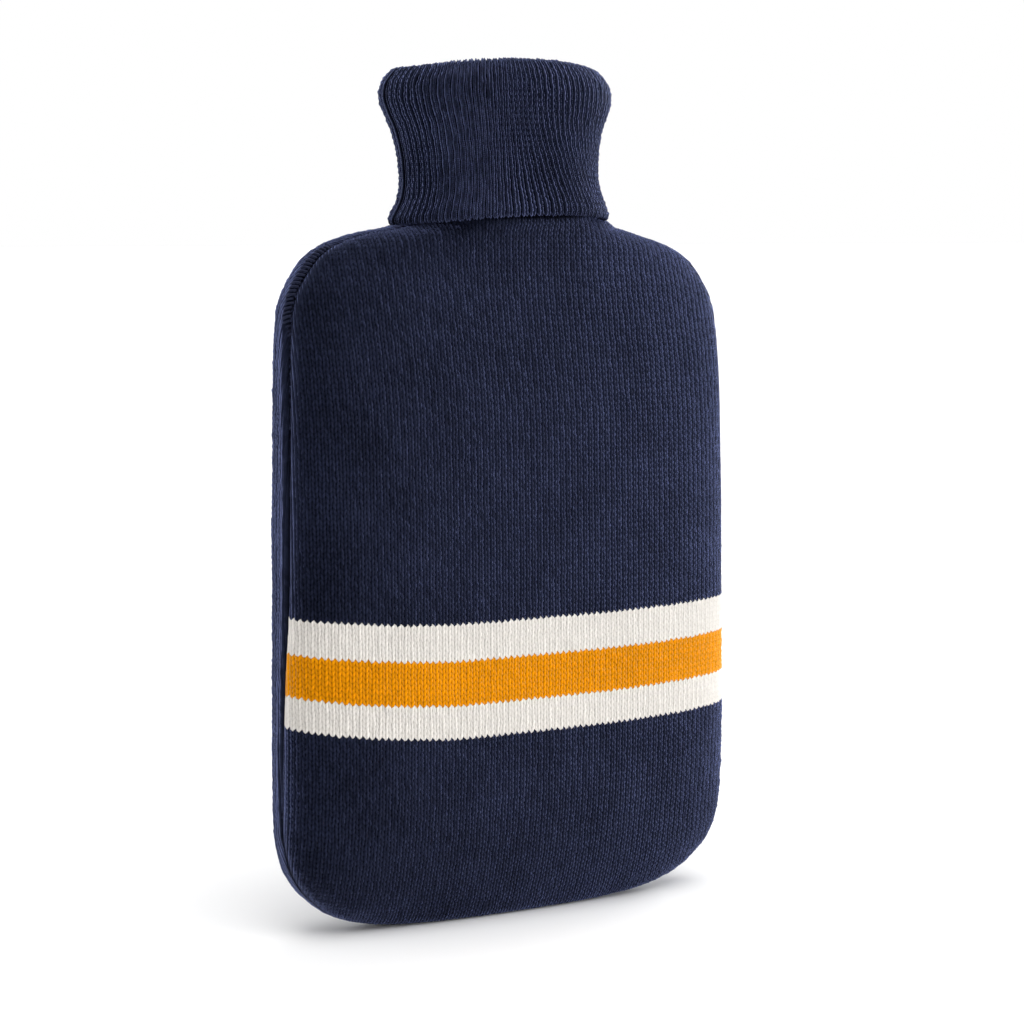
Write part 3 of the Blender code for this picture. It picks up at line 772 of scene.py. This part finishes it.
def collar_mesh():
    """The folded tube as one closed mesh, its rows laid stitch by stitch where the ribs show."""
    loop = np.vstack((COLLAR_LOOP, COLLAR_LOOP[:1]))
    knot = np.concatenate(([0.0], np.cumsum(np.hypot(np.diff(loop[:, 0]), np.diff(loop[:, 2])))))
    courses = int(knot[LAST_RIB_POINT] / COURSE_PITCH)
    shown = np.arange(courses * STITCH_ROWS) / STITCH_ROWS
    plain = np.arange(courses * COURSE_PITCH, knot[-1] - COURSE_PITCH, PLAIN_STEP) / COURSE_PITCH
    course = np.concatenate((shown, plain))
    columns = RIB_COUNT * RIB_COLUMNS
    wale = np.arange(columns) / RIB_COLUMNS
    tooth = (np.abs(2.0 * (wale % 1.0) - 1.0) - 0.5) * LEG_SLOPE
    slanted = smooth_ramp(course, 0.0, HEM_ROWS)
    slanted *= 1.0 - smooth_ramp(course, courses - LAST_ROWS[0], courses - LAST_ROWS[1])
    spot = (course[:, None] + slanted[:, None] * tooth) * COURSE_PITCH
    height, width, depth, rib = (smooth_curve(knot, loop[:, c], spot) for c in range(4))
    rise = (height - COLLAR_LOOP[0, 0]) / np.ptp(COLLAR_LOOP[:, 0])
    share = np.linspace(-1.0, 1.0, columns, endpoint=False)
    twisted = 1.0 - smooth_ramp(np.abs(share - TWIST_MIDDLE), TWIST_WIDTH, SIDE_SEAM - TWIST_MIDDLE)
    share = share - RIB_TWIST * twisted * (smooth_ramp(rise, *TWIST_RISE) - 0.5)
    turn = np.linspace(0.0, np.pi, OUTLINE_POINTS // 2 + 1)
    ratio = COLLAR_LOOP[WAIST_POINT, 2] / COLLAR_LOOP[WAIST_POINT, 1]
    steps = np.hypot(np.diff(np.sin(turn)), ratio * np.diff(np.cos(turn)))
    length = np.concatenate(([0.0], np.cumsum(steps)))
    angle = np.sign(share) * np.interp(np.abs(share) * length[-1], length, turn)
    aside = np.sin(angle)
    drop = HEM_DROP + (RIM_DROP - HEM_DROP) * rise
    drop += RIM_DIP * smooth_ramp(height, DIP_START, COLLAR_LOOP[:, 0].max())
    free = smooth_ramp(height, NECKLINE, NECKLINE + SEWN_EDGE) + (rib > 0.0)
    lowered = height + np.minimum(free, 1.0) * (
        (HEM_TILT * np.minimum(aside, HEM_LEVEL) - HEM_SAG * (1.0 - aside ** 2)) * (1.0 - rise)
        - drop * aside ** 2)
    lean, behind = centre_line(height)
    flare = HEM_FLARE * np.maximum(-aside, 0.0) ** 3 * (1.0 - smooth_ramp(height, *FLARE_END))
    points = np.stack((width * aside + lean - flare * (rib > 0.0), behind - depth * np.cos(angle),
                       lowered), axis=-1)
    index = np.arange(points.shape[0] * columns).reshape(-1, columns)
    right = np.roll(index, -1, axis=1)
    faces = np.stack((index, right, np.roll(right, -1, axis=0), np.roll(index, -1, axis=0)), axis=-1)
    mesh = bpy.data.meshes.new("collar_knit")
    mesh.from_pydata(points.reshape(-1, 3).tolist(), [], faces.reshape(-1, 4).tolist())
    marks = {"wale": np.broadcast_to(wale, height.shape),
             "course": np.broadcast_to(course[:, None], height.shape),
             "edge": np.abs(np.abs(share) - SIDE_SEAM) * length[-1] * COLLAR_LOOP[WAIST_POINT, 1],
             "knit": rib}
    marks["shows"] = smooth_ramp(marks["edge"], SEAM_ALLOWANCE, COLLAR_SMOOTH)
    # Painted shade in the folds beside the side seams, and on the hem's lowest rows under the fold.
    marks["painted_shade_mark"] = 1.0 - smooth_ramp(marks["edge"], 0.0, CREASE_WIDTH)
    hem_underside_shade = np.where(np.arange(len(course)) < len(shown),
                         1.0 - smooth_ramp(course, 0.0, UNDER_HEM_ROWS), 1.0)
    marks["painted_shade_mark"] = np.maximum(marks["painted_shade_mark"], hem_underside_shade[:, None])
    for mark, values in marks.items():
        mesh.attributes.new(mark, "FLOAT", "POINT").data.foreach_set("value", values.reshape(-1))
    mesh.shade_smooth()
    return mesh


# The same yarn, with softer painted shade in its slits, and painted shade in the real groove between the
# ribs.
navy_rib = knitted_yarn("navy rib knit, wool-like yarn", NAVY, NAVY_SHADE, NAVY_BLOOM,
                        sheen=1.12, gloss=0.35, slit=0.80, heather=0.36, rib=1.0, seam=0.65)
collar_knit = PANEL_KNIT | NO_STRIPES | {"Rib groove": 0.0007, "Seam roll": 0.0010,
                                         "Main yarn": navy_rib}
collar = apply_tree(collar_mesh(), raise_stitches, collar_knit)
add_stitch_map(collar)
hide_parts("collar")
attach(collar, "root")


# ----------------------------------------
# Side sewing
# The two panels are joined by whip stitches of the same navy yarn, drawn tight over the back
# panel's edge. They show where the seam opens round the shoulders, and sink into it elsewhere.
# ----------------------------------------
SEWING_PITCH = 0.0017     # along the seam
SEWING_YARN = 0.0010      # thickness of the yarn
SEWING_LENGTH = 0.0034    # across the seam
SEWING_SLANT = 0.0014     # how far the near end runs up the seam
SEWING_OFFSET = 0.0019    # middle of the stitches, from the back panel's edge
SEWING_START = 0.2330     # heights between which the stitches can be seen
SEWING_END = 0.2690
OPEN_START = 0.2335       # heights between which they stand open
OPEN_END = 0.2650
OPENING = 0.006           # length of seam over which it opens
CLOSING = 0.003           # and closes again
SEWING_SINK = 0.0019      # depth of a stitch where the seam is closed
SUNK_RIGHT = 0.0013       # on the right side all of them lie this much deeper
SEWING_STEP = 0.0005      # spacing of the points of a seam's line
SEWING_DIVE = 0.9         # a stitch's ends lie this many thicknesses of yarn below the cloth
SEWING_SIZES = (0.86, 1.10)     # stitches vary in size between these
SEWING_SEED = 7


def sewing_tree():
    """Geometry Nodes tree that lays slanted whip stitches along a seam line.

    It reads two marks of the line: the direction out of the cover, and how much a stitch shows.
    """
    tree = new_tree("whip stitches", ("Pitch", "Yarn", "Length", "Slant", "Sink"), ("Sewing yarn",))
    add = partial(add_node, tree)
    given = add("NodeGroupInput").outputs
    line = add("GeometryNodeMeshToCurve", {0: given["Geometry"]})
    line = add("GeometryNodeResampleCurve", {"Curve": line, "Length": given["Pitch"]}, mode="LENGTH")
    out = add("GeometryNodeInputNamedAttribute", {0: "out"}, data_type="FLOAT_VECTOR")
    shows = add("GeometryNodeInputNamedAttribute", {0: "shows"}, data_type="FLOAT")
    hidden = add("SUBTRACT", {0: shows, 1: 1.0})
    depth = add("MULTIPLY", {0: hidden, 1: given["Sink"]})
    sunk = add("ShaderNodeVectorMath", {0: out, 3: depth}, operation="SCALE")
    line = add("GeometryNodeSetPosition", {"Geometry": line, "Offset": sunk})
    half = add("MULTIPLY", {0: given["Length"], 1: 0.5})
    lean = add("MULTIPLY", {0: given["Slant"], 1: 0.5})
    back_half = add("MULTIPLY", {0: half, 1: -1.0})
    back_lean = add("MULTIPLY", {0: lean, 1: -1.0})
    low = add("MULTIPLY", {0: given["Yarn"], 1: -SEWING_DIVE})
    first = add("ShaderNodeCombineXYZ", {0: back_lean, 1: back_half, 2: low})
    high = add("ShaderNodeCombineXYZ", {2: given["Yarn"]})
    last = add("ShaderNodeCombineXYZ", {0: lean, 1: half, 2: low})
    bow = add("GeometryNodeCurveQuadraticBezier",
              {"Resolution": 7, "Start": first, "Middle": high, "End": last})
    radius = add("MULTIPLY", {0: given["Yarn"], 1: 0.5})
    strand = add("GeometryNodeCurvePrimitiveCircle", {"Resolution": 8, "Radius": radius})
    stitch = add("GeometryNodeCurveToMesh", {0: bow, 1: strand, "Fill Caps": True})
    along = add("GeometryNodeInputTangent")
    facing = add("FunctionNodeAxesToRotation", {0: out, 1: along}, primary_axis="Z", secondary_axis="X")
    size = add("FunctionNodeRandomValue",
               {2: SEWING_SIZES[0], 3: SEWING_SIZES[1], "Seed": SEWING_SEED}).outputs[1]
    row = add("GeometryNodeInstanceOnPoints",
              {"Points": line, "Instance": stitch, "Rotation": facing, "Scale": size})
    real = add("GeometryNodeRealizeInstances", {0: row})
    real = add("GeometryNodeSetMaterial", {"Geometry": real, "Material": given["Sewing yarn"]})
    add("NodeGroupOutput", {0: real})
    return tree


def seam_line(name, across_sign, pulled_in):
    """Line along one side of the back panel where its stitches lie, pulled_in below its surface."""
    level = np.arange(SEWING_START, SEWING_END, SEWING_STEP)
    across = across_sign * (np.interp(level, levels, seam_reach["back"]) - SEWING_OFFSET)
    points = body_point("back", level, across)
    ahead = body_point("back", level + FEELER, across)
    right = body_point("back", level, across + FEELER)
    out = np.cross(right - points, ahead - points)
    out /= np.linalg.norm(out, axis=1)[:, None]
    points -= pulled_in * out
    shows = smooth_ramp(level, OPEN_START, OPEN_START + OPENING)
    shows *= 1.0 - smooth_ramp(level, OPEN_END, OPEN_END + CLOSING)
    mesh = bpy.data.meshes.new(name)
    mesh.from_pydata(points.tolist(), [(k, k + 1) for k in range(len(points) - 1)], [])
    mesh.attributes.new("out", "FLOAT_VECTOR", "POINT").data.foreach_set("vector", out.reshape(-1))
    mesh.attributes.new("shows", "FLOAT", "POINT").data.foreach_set("value", shows)
    return mesh


def sewing_yarn():
    """Smooth two-ply navy yarn: matt, with a soft pale bloom at its edges."""
    colour = (*linear("#181b27"), 1.0)
    bloom = (*linear("#aab6ff"), 1.0)
    material = new_material("navy sewing yarn, two-ply wool-like", {
        "Base Color": colour, "Roughness": 0.6, "Specular IOR Level": 0.25, "Specular Tint": bloom,
        "Sheen Weight": 0.45, "Sheen Roughness": 0.4, "Sheen Tint": bloom})
    material.diffuse_color = colour
    return material


whip_stitches = sewing_tree()
navy_sewing = sewing_yarn()
for side_name, across_sign, pulled_in in (("left", 1.0, 0.0), ("right", -1.0, SUNK_RIGHT)):
    sewing = apply_tree(seam_line(side_name + "_side_sewing", across_sign, pulled_in), whip_stitches,
                        {"Pitch": SEWING_PITCH, "Yarn": SEWING_YARN, "Length": SEWING_LENGTH,
                         "Slant": -SEWING_SLANT * across_sign, "Sink": SEWING_SINK,
                         "Sewing yarn": navy_sewing})
    sewing.data.shade_smooth()
    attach(sewing, "root")


# ----------------------------------------
# Studio
# A plain pale table and pale walls, lit by four large soft panels: one overhead, two to the right
# and a weak one behind on the left. The camera stands 28 degrees left of the cover's front.
# ----------------------------------------
VIEW_ANGLE = np.radians(28.0)
VIEW_DISTANCE = 0.9765
VIEW_HEIGHT = 0.2742
VIEW_PITCH = np.radians(6.61)
VIEW_PAN = np.radians(0.15)
LENS_MM = 86.6
SENSOR_MM = 36.0
TABLE_SIZE = 60.0
TABLE_TOP = -0.0004       # just below the foot

camera_data = bpy.data.cameras.new("camera")
camera_data.lens = LENS_MM
camera_data.sensor_width = SENSOR_MM
camera = new_object("camera", camera_data)
camera.location = (-np.sin(VIEW_ANGLE) * VIEW_DISTANCE,
                   -np.cos(VIEW_ANGLE) * VIEW_DISTANCE - BODY_FORWARD, VIEW_HEIGHT)
camera.rotation_euler = (np.pi / 2.0 - VIEW_PITCH, 0.0, -VIEW_ANGLE - VIEW_PAN)
bpy.context.scene.camera = camera

table_mesh = bpy.data.meshes.new("table")
table_mesh.from_pydata([(x * TABLE_SIZE / 2.0, y * TABLE_SIZE / 2.0, TABLE_TOP)
                        for x, y in ((-1, -1), (1, -1), (1, 1), (-1, 1))], [], [(0, 1, 2, 3)])
table = new_object("table", table_mesh)
# Matt white lacquer: even and dull, so that it shows no reflection.
table_mesh.materials.append(new_material("matt white table lacquer", {
    "Base Color": (0.92, 0.92, 0.92, 1.0), "Roughness": 0.9, "Specular IOR Level": 0.0}))


def soft_light(name, towards, spread, strength):
    """Even soft light from one side of the studio; towards points from the cover to the light."""
    data = bpy.data.lights.new(name, "SUN")
    data.angle = np.radians(spread)
    data.energy = strength
    lamp = new_object(name, data)
    lamp.rotation_euler = Vector(towards).to_track_quat("Z", "Y").to_euler()


ROOM_GLOW = 0.30          # light that the walls throw on the cover
soft_light("overhead panel", (0.05, -0.25, 1.0), 65.0, 2.6)
soft_light("right panel", (0.88, -0.47, -0.06), 40.0, 5.2)
soft_light("right rear panel", (0.85, 0.48, 0.14), 40.0, 3.8)
soft_light("left rear panel", (-0.85, 0.60, 0.25), 50.0, 0.45)
world = bpy.data.worlds.new("studio")
bpy.context.scene.world = world
world.use_nodes = True
room = world.node_tree
backdrop = room.nodes["Background"]
backdrop.inputs["Color"].default_value = (1.0, 1.0, 1.0, 1.0)
seen = add_node(room, "ShaderNodeLightPath").outputs["Is Camera Ray"]
glow = add_node(room, "ShaderNodeMapRange", {0: seen, 3: ROOM_GLOW})
room.links.new(glow.outputs[0], backdrop.inputs["Strength"])
bpy.context.scene.view_settings.view_transform = "Standard"
